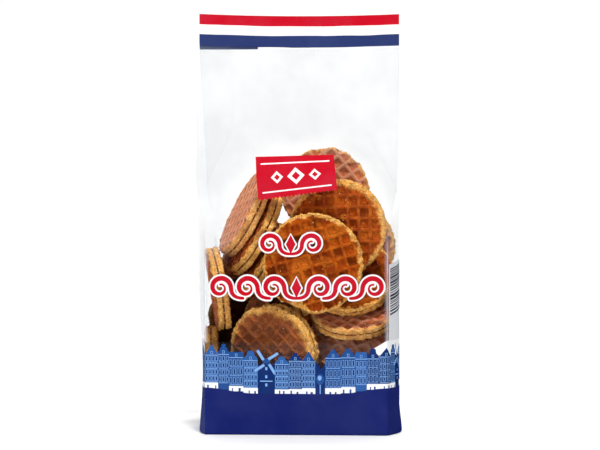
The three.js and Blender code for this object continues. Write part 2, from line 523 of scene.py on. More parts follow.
# Whole and broken waffles that fill the heap behind the ones that show
FILLER_SEED = 21
FILLER_TRIES = 2600
FILLER_BREAKS = (
    (),
    ((0.0, 3.0),),
    ((0.0, 2.0), (math.pi / 2, 2.0)),
    ((0.0, 2.0), (math.pi / 2, 2.0), (-math.pi * 0.75, 14.0)),
)
HEAP_LOW, HEAP_HIGH = 6.0, 86.0
FILLER_INSET = 0.5    # the least distance from the film
FILLER_GAP = 0.2      # and from the other waffles
NEARBY = 50.0         # waffles whose middles are further apart can't touch


def fill_heap(placed):
    """Tries seeded random places for more waffles, and keeps each that touches nothing."""
    draw = random.Random(FILLER_SEED)
    solids = [(waffle, waffle.samples()) for waffle in placed]
    fillers = []
    for breaks in FILLER_BREAKS:
        for _ in range(FILLER_TRIES):
            place = (draw.uniform(-38, 38), draw.uniform(-8, 21), draw.uniform(HEAP_LOW, HEAP_HIGH))
            turn, lean, spin = draw.uniform(-90, 90), draw.uniform(-60, 75), draw.uniform(0, 360)
            # Fillers get a dark tone: painted shade for waffles deep in the heap.
            radius, tone = draw.uniform(22.6, 24.2), draw.uniform(-0.9, -0.3)
            waffle = Waffle(place, turn, lean, spin, radius, tone, breaks=breaks)
            points = waffle.samples()
            if outside_film(points) > -FILLER_INSET:
                continue
            near = [s for s in solids if np.linalg.norm(s[0].middle - waffle.middle) < NEARBY]
            if any(max(w.depth_of(points), waffle.depth_of(p)) > -FILLER_GAP for w, p in near):
                continue
            solids.append((waffle, points))
            fillers.append(waffle)
    return fillers


def add_waffle(waffle, seed, wafers, caramel):
    """Both wafers of a waffle, back to back, and the caramel between them."""
    for side in (1, -1):
        points, faces, values = make_wafer(waffle, seed + side * 0.37, 1.1 * side, side > 0)
        points = (points + [0, 0, CARAMEL_HALF]) * [1, 1, side]
        wafers.add(waffle.placed(points), [face[::side] for face in faces], values)
    points, faces = make_caramel(waffle, seed)
    caramel.add(waffle.placed(points), faces, {"tone": waffle.tone})


CRUMB_SEED = 8
CRUMBS_ON_RIM = 280
CRUMBS_ON_FACE = 60
CRUMB_SIDES = 5
CRUMB_FACES = fan(0, 1, CRUMB_SIDES) + fan(CRUMB_SIDES + 1, 1, CRUMB_SIDES, flip=True)
PROUD_CRUMB = 0.4    # a bigger one on the rim is sunk deeper, to stay under the film


def add_crumb(heap, draw, place, size, tone):
    """One crumb: two rough pyramids, base to base."""
    angles = [2 * math.pi * (i + draw.uniform(-0.3, 0.3)) / CRUMB_SIDES for i in range(CRUMB_SIDES)]
    ring = [(*polar(1, angle), draw.uniform(-0.3, 0.3)) for angle in angles]
    turned = waffle_axes(draw.uniform(0, 360), draw.uniform(-90, 90), 0)
    points = np.array([(0, 0, 1), *ring, (0, 0, -1)])
    shaped = np.array([point * draw.uniform(0.7, 1.2) for point in points]) @ turned.T
    values = {"ridge": 0.5, "rim": draw.uniform(0.9, 2.0), "bake": draw.uniform(-0.6, 0.3), "tone": tone}
    heap.add(shaped * size + place, CRUMB_FACES, values)


def add_crumbs(heap, draw, waffle, seed):
    """Crumbs that stick to a waffle's rim and to its front face."""
    for _ in range(CRUMBS_ON_RIM):
        angle = draw.uniform(0, 2 * math.pi)
        height = draw.uniform(-0.5, 0.5) * (WAFFLE_THICKNESS - 0.8)
        size = 0.22 + 0.5 * draw.random() ** 2
        reach = rim_radius(waffle, angle, seed) - 0.15 - max(0, size - PROUD_CRUMB)
        add_crumb(heap, draw, waffle.placed((*polar(reach, angle), height)), size, waffle.tone)
    for _ in range(CRUMBS_ON_FACE):
        angle = draw.uniform(0, 2 * math.pi)
        px, py = polar((waffle.radius - 1.5) * math.sqrt(draw.random()), angle)
        if any(past_break(px, py, one) > -1 for one in waffle.breaks):
            continue
        size = 0.18 + 0.4 * draw.random() ** 3
        add_crumb(heap, draw, waffle.placed((px, py, WAFFLE_THICKNESS / 2 - 0.35)), size, 0.0)


def build_waffles(wafer_material, caramel_material):
    """All waffles. Returns the points of their surfaces, which the film lies over."""
    shown = {name: Waffle(*row, name=name) for name, row in WAFFLES.items()}
    left = [name for name in shown if name.startswith(("left", "top"))]
    back = [name for name in shown if name not in FRONT_GROUP and name not in left]
    groups = {
        "waffles_front": [shown[name] for name in FRONT_GROUP],
        "waffles_left": [shown[name] for name in left],
        "waffles_back": [shown[name] for name in back],
        "waffles_inner": fill_heap(list(shown.values())),
    }
    caramel = Heap(("tone",))
    crumbs = Heap(WAFER_VALUES)
    draw = random.Random(CRUMB_SEED)
    surface = []
    seed = 10.0
    for group, waffles in groups.items():
        wafers = Heap(WAFER_VALUES)
        for waffle in waffles:
            add_waffle(waffle, seed, wafers, caramel)
            add_crumbs(crumbs, draw, waffle, seed)
            seed += 7.3
        surface.extend(wafers.points)
        finish_piece(wafers.make(group), wafer_material)
    finish_piece(caramel.make("caramel"), caramel_material)
    finish_piece(crumbs.make("crumbs"), wafer_material)
    return np.concatenate(surface)


# ---- the film laid over the waffles
FILM_STEP = 1.3
CLEARANCE = 0.35     # between the film and the highest crumbs under it
CREASE_BLEND = 2.0   # how far from a crease the direction outwards starts to turn
RELAXING_STEPS = 50
SLACK = 0.985        # how much of its neighbours' push a free place keeps at each step


def push_grid(surface):
    """How far the film stands outside its plain form so that it clears the waffles, on a (u, z) grid."""
    columns = int(round((U_END - U_START) / FILM_STEP))
    rows = int(round(BAG_HEIGHT / FILM_STEP))
    grid = np.zeros((columns, rows + 1))
    for u, outside in past_plain_film(surface):
        needed = outside + CLEARANCE
        inside = needed > 0
        column = np.round((u[inside] - U_START) / (U_END - U_START) * columns).astype(int)
        row = np.clip(np.round(surface[inside, 2] / BAG_HEIGHT * rows).astype(int), 0, rows)
        for shift in (-1, 0, 1):
            np.maximum.at(grid, ((column + shift) % columns, row), needed[inside])
    return relax(grid)


def relax(needed):
    """A taut skin over the grid: it touches where it must and falls away smoothly between."""
    skin = needed.copy()
    for _ in range(RELAXING_STEPS):
        across = (np.roll(skin, 1, 0) + np.roll(skin, -1, 0)) / 2
        padded = np.pad(skin, ((0, 0), (1, 1)), mode="edge")
        along = (padded[:, :-2] + padded[:, 2:]) / 2
        skin = np.maximum(needed, (across + along) / 2 * SLACK)
    return skin


def sample_grid(grid, u, z):
    columns, rows = grid.shape
    column = (u - U_START) / (U_END - U_START) * columns
    row = np.clip(z / BAG_HEIGHT * (rows - 1), 0, rows - 1.001)
    c = np.floor(column).astype(int)
    r = np.floor(row).astype(int)
    s = column - c
    t = row - r
    c0, c1 = c % columns, (c + 1) % columns
    low = grid[c0, r] * (1 - s) + grid[c1, r] * s
    high = grid[c0, r + 1] * (1 - s) + grid[c1, r + 1] * s
    return low * (1 - t) + high * t


def outward(u):
    """The direction out of the bag at u, turning over a short stretch at each crease."""
    stops = [crease + side * CREASE_BLEND for crease in CREASES for side in (-1, 1)]
    turns = [90 * (number + after) - 180 for number in range(len(CREASES)) for after in (0, 1)]
    angles = np.radians(np.interp(u, stops, turns))
    return np.cos(angles), np.sin(angles)


def crumple(u, z):
    """Shallow folds: pleats under the seal and soft creases over the shoulder."""
    turn = (u - U_START) / (U_END - U_START) * 2 * math.pi
    pleating = smoothstep(z, 140, 185)
    values = np.empty(len(u))
    for i, (across, along, height) in enumerate(zip(np.cos(turn) * 6, np.sin(turn) * 6, z)):
        broad = noise_at(across, along, height * 0.03)
        folds = 1 - abs(noise_at(across * 1.7, along * 1.7, height * 0.045 + 7)) * 2
        pleat = noise_at(across * 2.5, along * 2.5, height * 0.012 + 3)
        values[i] = 0.5 * broad + 0.35 * folds + 0.5 * pleat * pleating[i]
    calm = 1 - smoothstep(z, SEAL_BOTTOM - 12, SEAL_BOTTOM)
    above_waffles = lerp(0.35, 1.0, smoothstep(z, 95, 135))
    return values * calm * above_waffles * smoothstep(z, 0, 20)


SEAL_SAG = 1.1                    # how far the seal's middle hangs below its ends
SEAL_TILT = 0.4                   # how much higher its left end stands
FOLD_ANGLE = math.radians(50)     # a sharper edge than this is a fold


def place_film(u, z, grid):
    """Points of the finished film at (u, z)."""
    x, y = plain_film(u, z)
    away_x, away_y = outward(u)
    push = sample_grid(grid, u, z)
    folds = crumple(u, z) * (1 - smoothstep(push, 0.0, 0.5))
    x = x + away_x * (push + folds)
    y = y + away_y * (push + folds)
    inset = BASE_ROUNDING * (1 - np.sqrt(1 - (1 - np.clip(z / BASE_ROUNDING, 0, 1)) ** 2))
    across = np.clip(x / TOP_HALF_WIDTH, -1, 1)
    sag = (SEAL_SAG * (1 - across ** 2) + SEAL_TILT * across) * smoothstep(z, SEAL_BOTTOM - 40, BAG_HEIGHT)
    return np.column_stack((x * (1 - inset / TOP_HALF_WIDTH), y * (1 - inset / FULL_HALF_DEPTH), z - sag))


# ---- the print, as fields on the unrolled film
INKS = {
    "navy": (0.010, 0.017, 0.135),
    "house": (0.018, 0.075, 0.270),
    "house_dark": (0.006, 0.026, 0.140),
    "house_light": (0.230, 0.430, 0.780),
    "house_mid": (0.030, 0.110, 0.350),
    "white": (0.90, 0.91, 0.92),
    "panel": (0.73, 0.75, 0.78),
    "stripe_blue": (0.025, 0.040, 0.142),
    "red": (0.54, 0.006, 0.018),
    "bar": (0.05, 0.05, 0.07),
}


DAB_SIDES = 12


class Print:
    """Fields of ink, painted in order: a later one lies over an earlier one."""

    def __init__(self):
        self.fields = []

    def field(self, ink, corners):
        self.fields.append((ink, [(float(u), float(z)) for u, z in corners]))

    def block(self, ink, left, right, low, high):
        self.field(ink, [(left, low), (right, low), (right, high), (left, high)])

    def stroke(self, ink, path, widths):
        """A brush stroke along a path: a chain of short quads, with a round dab at each joint."""
        for (a, b), (wa, wb) in zip(zip(path, path[1:]), zip(widths, widths[1:])):
            along = Vector(b) - Vector(a)
            side = Vector((-along.y, along.x)).normalized()
            corners = [
                Vector(a) - side * wa / 2, Vector(b) - side * wb / 2,
                Vector(b) + side * wb / 2, Vector(a) + side * wa / 2,
            ]
            self.field(ink, corners)
        for (x, z), width in zip(path, widths):
            self.dab(ink, x, z, width / 2)

    def dab(self, ink, x, z, radius, tall=1.0):
        angles = ring_angles(DAB_SIDES, 0.5)
        self.field(ink, [(x + radius * math.cos(a), z + radius * tall * math.sin(a)) for a in angles])


STREET_TOP = 46.0    # below here the film is printed all over
STREET_SINK = 0.4    # how far its fronts reach down behind the navy foot's edge


def base_edge(u):
    """The height of the navy foot, which dips in the middle of the front and back."""
    from_middle = min(abs(u), abs(u - U_BACK_MIDDLE)) / HALF_PANEL
    return 20.6 + 2.7 * float(smoothstep(from_middle, 0.45, 1.0))


def print_base(sheet):
    edge = [(u, base_edge(u)) for u in np.linspace(U_END, U_START, 90)]
    sheet.field("navy", [(U_START, 0), (U_END, 0)] + edge)


def mirrored(side, middle):
    """An outline's right half, followed by its left half."""
    return side + [(2 * middle - x, z) for x, z in reversed(side) if x > middle]


# The right half of each kind of roof, from the eaves up: how far out, as a share of half the house,
# how far in from there, and how high, as a share of the roof
ROOFS = {
    "gable": ((1, 0, 0), (0, 0, 1)),
    "steps": [(1 - step / 3, 0, (step + up) / 3) for step in range(3) for up in (0, 1)],
    "bell": ((1.0, 0, 0.0), (0.92, 0, 0.3), (0.55, 0, 0.55), (0.45, 0, 0.9), (0.15, 0, 1.0)),
    "cornice": ((1, 0, 0.55), (1, 0.3, 0.7)),
}


def roof_outline(kind, left, right, eaves, ridge):
    """The top of a house front, from its right eaves to its left eaves."""
    middle = (left + right) / 2
    half = (right - left) / 2
    rise = ridge - eaves
    side = [(middle + half * out - inset, eaves + rise * up) for out, inset, up in ROOFS[kind]]
    return mirrored(side, middle)


def print_house(sheet, draw, left, right, kind):
    """One plain gabled house front with rows of windows."""
    foot = max(base_edge(left), base_edge(right)) - STREET_SINK
    eaves = foot + draw.uniform(14.5, 18.0)
    ridge = eaves + draw.uniform(3.6, 5.6)
    wall = draw.choice(("house", "house_mid", "house_dark"))
    trim = "house_light"
    outline = roof_outline(kind, left, right, eaves, ridge)
    sheet.field(wall, [(left, foot), (right, foot)] + outline)
    floors = draw.choice((3, 4))
    across = 3 if right - left < 6.4 else 4
    floor_height = (eaves - foot - 3.6) / floors
    for floor in range(floors):
        low = foot + 3.9 + floor * floor_height
        sheet.block(trim, left + 0.35, right - 0.35, low - 0.75, low - 0.45)
        for i in range(across):
            middle = left + (right - left) * (i + 0.5) / across
            print_window(sheet, middle, low, floor_height * 0.68)
    sheet.block(trim, left, right, eaves - 0.3, eaves + 0.1)
    sheet.block("house_dark", left, right, eaves - 0.75, eaves - 0.3)
    attic = (left + right) / 2
    sheet.block(trim, attic - 0.55, attic + 0.55, eaves + 0.5, eaves + 1.9)
    sheet.block("house_dark", attic - 0.3, attic + 0.3, eaves + 0.7, eaves + 1.7)
    if draw.random() < 0.8:
        print_shop_front(sheet, draw, left, right, foot)


def print_window(sheet, middle, low, tall):
    """A light frame, dark glass and one glazing bar."""
    sheet.block("house_light", middle - 0.6, middle + 0.6, low, low + tall)
    sheet.block("house_dark", middle - 0.4, middle + 0.4, low + 0.2, low + tall - 0.2)
    sheet.block("house", middle - 0.4, middle + 0.4, low + tall * 0.5, low + tall * 0.5 + 0.22)


def print_shop_front(sheet, draw, left, right, foot):
    """A white ground floor with dark doorways."""
    sheet.block("white", left, right, foot, foot + draw.uniform(2.5, 3.2))
    for share in (0.3, 0.75):
        middle = lerp(left, right, share + draw.uniform(-0.12, 0.12))
        half = draw.uniform(0.25, 0.6)
        sheet.block("house", middle - half, middle + half, foot, foot + draw.uniform(1.3, 2.0))


def print_mill(sheet, middle):
    """A windmill among the houses."""
    foot = base_edge(middle) - STREET_SINK
    top = foot + 15.5
    sheet.field("house_dark", mirrored([(middle + 2.9, foot), (middle + 1.6, top)], middle))
    cap = [(middle + 1.9, top), (middle + 1.2, top + 1.7), (middle, top + 2.3)]
    sheet.field("house", mirrored(cap, middle))
    for low in (4.0, 8.0, 12.0):
        sheet.block("house_light", middle - 0.5, middle + 0.5, foot + low, foot + low + 1.4)
    sheet.block("house_light", middle - 3.1, middle + 3.1, foot + 6.3, foot + 6.8)
    hub = Vector((middle, top + 0.4))
    for quarter in range(4):
        along = Vector(polar(1, math.radians(32 + 90 * quarter)))
        side = Vector((-along.y, along.x))
        sheet.stroke("house", [hub, hub + along * 7.4], [0.4, 0.4])
        corners = ((1.6, 0), (7.2, 0), (7.2, 1.3), (1.6, 1.3))
        sheet.field("house_light", [hub + along * reach + side * wide for reach, wide in corners])


TREE_SIZE = 2.0


def print_tree(sheet, middle):
    """A trimmed tree on a thin trunk."""
    foot = base_edge(middle) - STREET_SINK
    sheet.block("house_light", middle - 0.25, middle + 0.25, foot, foot + 5.5)
    sheet.dab("house", middle, foot + 5.5 + TREE_SIZE, TREE_SIZE, tall=1.35)
    sheet.dab("house_light", middle - 0.3, foot + 6.2 + TREE_SIZE, TREE_SIZE * 0.5, tall=1.2)


ROOF_PITCH = 4.2     # of the roofs behind the street


def print_back_row(sheet):
    """Darker, lower roofs between and behind the house fronts."""
    outline = []
    u = U_END
    while u > U_START + 4:
        foot = base_edge(u)
        outline.extend([(u, foot + 12.0), (u - 2.0, foot + 15.5), (u - 4.0, foot + 12.0)])
        u -= ROOF_PITCH
    outline.append((U_START, 32.0))
    sheet.field("house_dark", [(U_START, 18.0), (U_END, 18.0)] + outline)


HOUSE_KINDS = ("gable", "steps", "cornice", "bell", "gable", "bell", "steps", "gable", "cornice")
STREET_SEED = 11
STREET_REPEAT = 11   # places in the street before a mill and a tree come round again
MILL_PLACE, MILL_WIDTH = 4, 8.4
TREE_PLACE, TREE_WIDTH = 8, 4.8


def print_street(sheet):
    """A row of house fronts all round the bag, with a windmill or a tree now and then."""
    print_back_row(sheet)
    draw = random.Random(STREET_SEED)
    u = U_START
    number = 0
    while u < U_END - 9:
        place = number % STREET_REPEAT
        if place == MILL_PLACE:
            width = MILL_WIDTH
            print_mill(sheet, u + width / 2)
        elif place == TREE_PLACE:
            width = TREE_WIDTH
            print_tree(sheet, u + width / 2)
        else:
            width = draw.uniform(5.2, 8.2)
            print_house(sheet, draw, u, u + width, HOUSE_KINDS[number % len(HOUSE_KINDS)])
        u += width
        number += 1
    print_house(sheet, draw, u, U_END, "gable")


# The bar panel's corners, the white patch over the roofs beside it, and the stretch that has bars
PANEL_RIGHT = U_RIGHT + 31
PANEL = ((U_RIGHT + 1.2, 46), (PANEL_RIGHT, 46), (PANEL_RIGHT, 88.5), (U_RIGHT + 1.2, 84))
PATCH = (
    (U_RIGHT - 6.5, 39.5), (U_RIGHT + 20, 39.5), (U_RIGHT + 20, 46.8),
    (U_RIGHT, 46.8), (U_RIGHT - 6.5, 43),
)
BARS_LEFT, BARS_RIGHT = U_RIGHT + 2.5, U_RIGHT + 29
BARS_LOW, BARS_HIGH = 59.0, 82.0
BARS_RISE = 0.15 * (BARS_RIGHT - BARS_LEFT)


def print_panel(sheet):
    """The light panel on the right gusset, with plain bars across it."""
    sheet.field("panel", PANEL)
    sheet.field("white", PATCH)
    draw = random.Random(5)
    low = BARS_LOW
    while low < BARS_HIGH:
        high = low + draw.choice((0.5, 0.7, 0.9, 1.2))
        right_edge = [(BARS_RIGHT, low + BARS_RISE), (BARS_RIGHT, high + BARS_RISE)]
        sheet.field("bar", [(BARS_LEFT, low)] + right_edge + [(BARS_LEFT, high)])
        low = high + draw.choice((0.35, 0.5, 0.65))


LABEL = ((-20.2, 137.2), (-18.3, 115.2), (20.3, 120.4), (18.4, 138.2))
LABEL_TEETH = 20
TOOTH_DEPTH = 0.9


def to_sheet(x, z):
    """A place on the front panel, given by its real x, on the unrolled film."""
    return (x * HALF_PANEL / float(crease_x(z)), z)


def print_label(sheet):
    """A plain red label with pinked teeth, two white lines and three lozenges."""
    a, b, c, d = (Vector(to_sheet(x, z)) for x, z in LABEL)
    points = 2 * LABEL_TEETH
    teeth = [b.lerp(c, i / points) + Vector((0, TOOTH_DEPTH * (i % 2))) for i in range(points + 1)]
    sheet.field("red", [a] + teeth + [d])

    def inside(s, t):
        return a.lerp(d, s).lerp(b.lerp(c, s), t)

    for t in (0.17, 0.83):
        sheet.stroke("white", [inside(0.07, t), inside(0.93, t)], [0.7, 0.7])
    for s, size in ((0.26, 0.7), (0.5, 1.0), (0.74, 0.7)):
        for ink, scale in (("white", size), ("red", size / 2)):
            corners = ((-0.11, 0), (0, 0.21), (0.11, 0), (0, -0.21))
            sheet.field(ink, [inside(s + across * scale, 0.5 + down * scale) for across, down in corners])


WAVE_STEPS = 34
WAVE_WIDTH = 2.3
WAVE_PITCH = 2.45    # from wave to wave, as a share of a wave's size
FIRST_WAVE = 2.1     # from the lozenge to the first wave, likewise
WAVE_TURN = 2.5      # half turns from where a wave starts to rise to the end of its curl
WHITE_EDGE = 0.8


def wave(centre, size, direction):
    """One wave of the ornament: up from its trough, and curled in under its crest."""
    x, z = centre
    path = []
    for i in range(9):
        t = i / 9
        out = lerp(lerp(-2.1, -1.0, t), -1.0, t)
        up = lerp(-0.95, lerp(-0.95, 0.0, t), t)
        path.append((x + direction * size * out, z + size * up))
    for i in range(WAVE_STEPS + 1):
        t = i / WAVE_STEPS
        across, up = polar(size * (1 - 0.72 * t), math.pi * (1 - WAVE_TURN * t))
        path.append((x + direction * across, z + up))
    return path


def print_ornament(sheet, centre, waves, size):
    """Red waves with a white edge, the same to both sides of a lozenge."""
    x, z = centre
    strokes = []
    for direction in (-1, 1):
        for number in range(waves):
            start = x + direction * size * (FIRST_WAVE + WAVE_PITCH * number)
            path = wave((start, z), size, direction)
            shares = [min(1, 0.1 + 1.1 * i / len(path)) for i in range(len(path))]
            strokes.append((path, [0.4 + 0.6 * math.sin(math.pi * share) for share in shares]))
    width = WAVE_WIDTH * size / 5
    for ink, extra in (("white", 2 * WHITE_EDGE), ("red", 0.0)):
        for path, swell in strokes:
            sheet.stroke(ink, [to_sheet(*p) for p in path], [width * s + extra for s in swell])
        wide, tall = 2.4 + extra / 2, 0.95 * size + extra / 2
        lozenge = [(x - wide, z), (x, z - tall), (x + wide, z), (x, z + tall)]
        sheet.field(ink, [to_sheet(*p) for p in lozenge])


STRIPES = (
    ("red", 204.8, BAG_HEIGHT),
    ("white", 199.9, 204.8),
    ("stripe_blue", 194.1, 199.9),
)
# The back's blue stripe hangs lower over this stretch
LOW_CORNER = ((U_LEFT - 26, 193.0), (U_LEFT, 192.2), (U_LEFT, 194.5), (U_LEFT - 26, 194.5))


def print_stripes(sheet):
    """The stripes across the top seal, a little uneven at their edges."""

    def edge(level):
        uneven = 0.22 if level < BAG_HEIGHT else 0
        return [(u, level + uneven * noise_at(u * 0.12, level, 0.5)) for u in np.linspace(U_START, U_END, 70)]

    for ink, low, high in STRIPES:
        sheet.field(ink, edge(low) + edge(high)[::-1])
    sheet.field("stripe_blue", LOW_CORNER)


def design_print():
    sheet = Print()
    print_panel(sheet)
    print_street(sheet)
    print_base(sheet)
    print_label(sheet)
    print_ornament(sheet, (-2.4, 94.0), 1, 5.0)
    print_ornament(sheet, (0.4, 72.6), 3, 5.4)
    print_stripes(sheet)
    return sheet.fields


# ---- film and print as meshes


EDGE_STEP = 0.3      # between the places along a print edge that are looked at
EDGE_MARGIN = 0.4    # the sheet's own points keep this far from an edge of the print
CREASE_MARGIN = 0.45 # from a crease to the columns beside it
LONGEST_EDGE = 2.0   # so that the print's edges follow the film
SLIVER = 0.002       # twice the area of the smallest triangle kept


def even_lines(stops, step):
    """Lines at every stop, and evenly between the stops about a step apart."""
    lines = [stops[0]]
    for low, high in zip(stops, stops[1:]):
        count = max(1, int(round((high - low) / step)))
        lines.extend(lerp(low, high, (i + 1) / count) for i in range(count))
    return np.array(lines)


def sheet_lines():
    """The unrolled film's columns and rows, closer together beside creases, fin and base."""
    stops = {crease + shift for crease in CREASES for shift in (-CREASE_MARGIN, 0, CREASE_MARGIN)}
    stops = {stop for stop in stops if U_START <= stop <= U_END}
    for side in (-1, 1):
        stops |= {U_BACK_MIDDLE + side * FIN_HALF_WIDTH, U_BACK_MIDDLE + side * (FIN_HALF_WIDTH + FIN_EDGE)}
    columns = even_lines(sorted(stops), FILM_STEP)
    seal = [SEAL_BOTTOM + (BAG_HEIGHT - SEAL_BOTTOM) * row / CRIMP_ROWS for row in range(CRIMP_ROWS + 1)]
    rows = even_lines([0.0, BASE_ROUNDING / 5, BASE_ROUNDING / 2, BASE_ROUNDING] + seal, FILM_STEP)
    return columns, rows


def clear_of_edges(columns, rows, fields):
    """Which points of the sheet's grid aren't too close to a print edge to make good triangles."""
    keep = np.ones((len(columns), len(rows)), dtype=bool)
    for _, corners in fields:
        for (u0, z0), (u1, z1) in zip(corners, corners[1:] + corners[:1]):
            steps = max(2, int(math.hypot(u1 - u0, z1 - z0) / EDGE_STEP) + 1)
            u = np.linspace(u0, u1, steps)
            z = np.linspace(z0, z1, steps)
            for side, level in ((0, 0), (0, 1), (1, 0), (1, 1)):
                column = np.clip(np.searchsorted(columns, u) - side, 0, len(columns) - 1)
                row = np.clip(np.searchsorted(rows, z) - level, 0, len(rows) - 1)
                near = np.hypot(columns[column] - u, rows[row] - z) < EDGE_MARGIN
                keep[column[near], row[near]] = False
    keep[[0, -1], :] = True
    keep[:, [0, -1]] = True
    return keep


def cut_sheet(fields):
    """The unrolled film cut along the edges of its print: points, triangles and each triangle's ink."""
    columns, rows = sheet_lines()
    keep = clear_of_edges(columns, rows, fields)
    points = [Vector((columns[i], rows[j])) for i, j in np.argwhere(keep)]
    polygons = []
    for _, corners in fields:
        start = len(points)
        for a, b in zip(corners, corners[1:] + corners[:1]):
            parts = max(1, math.ceil(math.dist(a, b) / LONGEST_EDGE))
            points.extend(Vector(a).lerp(Vector(b), i / parts) for i in range(parts))
        polygons.append(list(range(start, len(points))))
    flat, _, faces, _, _, owners = delaunay_2d_cdt(points, [], polygons, 0, 1e-4, True)
    inks = [fields[max(owner)][0] if owner else None for owner in owners]
    flat = np.array([(p.x, p.y) for p in flat])
    corners = flat[np.array(faces)]
    sides = corners[:, 1:] - corners[:, :1]
    doubled_area = np.abs(sides[:, 0, 0] * sides[:, 1, 1] - sides[:, 0, 1] * sides[:, 1, 0])
    sound = doubled_area > SLIVER
    return flat, [face for face, ok in zip(faces, sound) if ok], [ink for ink, ok in zip(inks, sound) if ok]


FREE_HAZE = 0.14          # of the film that hangs clear of the waffles
LEFT_HAZE = 0.07          # more of it at the front's left
# Along each crease the film is milky white, which is also a painted highlight.
CREASE_HAZE_AND_HIGHLIGHT = 0.7
CLEAR_MIDDLE = (4, 94)    # of the clear patch over the heap, as x and z
CLEAR_REACH = (42, 51)    # how wide and how tall it is, from its middle


def haze_and_highlight(u, z):
    """How milky the film is, where it hangs free, on the gussets and along the creases, where the milky line
    is also a painted highlight. The print reads it for a painted sheen.
    """
    across = np.minimum(np.abs(u - CLEAR_MIDDLE[0]), np.abs(U_BACK_MIDDLE - u - CLEAR_MIDDLE[0]))
    from_heap = (across / CLEAR_REACH[0]) ** 2 + ((z - CLEAR_MIDDLE[1]) / CLEAR_REACH[1]) ** 2
    value = FREE_HAZE * smoothstep(from_heap, 0.72, 1.2) * smoothstep(z, 80, 100)
    value += LEFT_HAZE * smoothstep(-u, 26, 42) * smoothstep(z, 84, 100) * (1 - smoothstep(z, 135, 165))
    left = u > U_LEFT
    gussets = left | (u > U_RIGHT) & (u < U_BACK)
    value = np.where(gussets, 0.16 - 0.155 * smoothstep(z, 96, 122), value)
    # A milky line along each crease, which is also a painted highlight.
    for crease in CREASES:
        line = 1 - smoothstep(np.abs(u - crease), 0.2, 0.8)
        value = np.maximum(value, CREASE_HAZE_AND_HIGHLIGHT * line * (1 - smoothstep(z, 84, 108)))
    # Below the street top the left gusset gets 0.55, which gives its ink a painted sheen.
    value = np.where(z < STREET_TOP, np.where(left, 0.55, 0.03), value)
    return np.where(z > SEAL_BOTTOM - 1, 0.02, value)


def merge_seam(points, faces):
    """Joins the film's two edges, which meet at the front left crease."""
    keys = {}
    order = []
    lookup = []
    for i, point in enumerate(np.round(points, 3).tolist()):
        key = tuple(point)
        if key not in keys:
            keys[key] = len(order)
            order.append(i)
        lookup.append(keys[key])
    merged = [[lookup[i] for i in face] for face in faces]
    kept = [len(set(face)) == len(face) for face in merged]
    return points[order], merged, kept, order


def close_end(points, ring, upwards):
    """Triangles from the front half of a flat end's ring to the back half, from left to right."""
    middle = points[ring, 1].mean()
    front = sorted((i for i in ring if points[i, 1] <= middle), key=lambda i: points[i, 0])
    back = sorted((i for i in ring if points[i, 1] > middle), key=lambda i: points[i, 0])
    faces = []
    a = b = 0
    while a + 1 < len(front) or b + 1 < len(back):
        step_front = b + 1 == len(back)
        if a + 1 < len(front) and not step_front:
            step_front = points[front[a + 1], 0] <= points[back[b + 1], 0]
        if step_front:
            face = [int(front[a]), int(front[a + 1]), int(back[b])]
            a += 1
        else:
            face = [int(front[a]), int(back[b + 1]), int(back[b])]
            b += 1
        faces.append(face if upwards else face[::-1])
    return faces


def film_pieces(grid, film_material, ink_material):
    """The clear film and its print, both cut from one sheet."""
    flat, faces, inks = cut_sheet(design_print())
    points = place_film(flat[:, 0], flat[:, 1], grid)
    points, faces, kept, order = merge_seam(points, faces)
    u, z = flat[order].T
    whole = [(face, ink) for face, ink, keep in zip(faces, inks, kept) if keep]
    for level, ink in ((0.0, "navy"), (BAG_HEIGHT, "red")):
        ring = np.where(np.abs(z - level) < 1e-4)[0]
        whole.extend((face, ink) for face in close_end(points, ring, level > 0))
    clear = [face for face, ink in whole if ink is None]
    printed = [(face, ink) for face, ink in whole if ink is not None]
    film = part_of_film("film", points, clear, haze_and_highlight(u, z))
    finish_piece(film, film_material)
    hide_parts("bag")
    ink = part_of_film("print", points, [face for face, _ in printed], haze_and_highlight(u, z))
    colours = ink.data.attributes.new("ink", "FLOAT_COLOR", "FACE")
    rgba = np.array([INKS[name] + (1.0,) for _, name in printed], dtype=np.float32)
    colours.data.foreach_set("color", rgba.ravel())
    finish_piece(ink, ink_material)
    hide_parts("bag")


def part_of_film(name, points, faces, value):
    used = sorted(set(i for face in faces for i in face))
    lookup = {old: new for new, old in enumerate(used)}
    faces = [[lookup[i] for i in face] for face in faces]
    thing = make_mesh(name, points[used], faces, {"haze_and_highlight": value[used]})
    thing.data.set_sharp_from_angle(angle=FOLD_ANGLE)
    return thing


# ---- materials


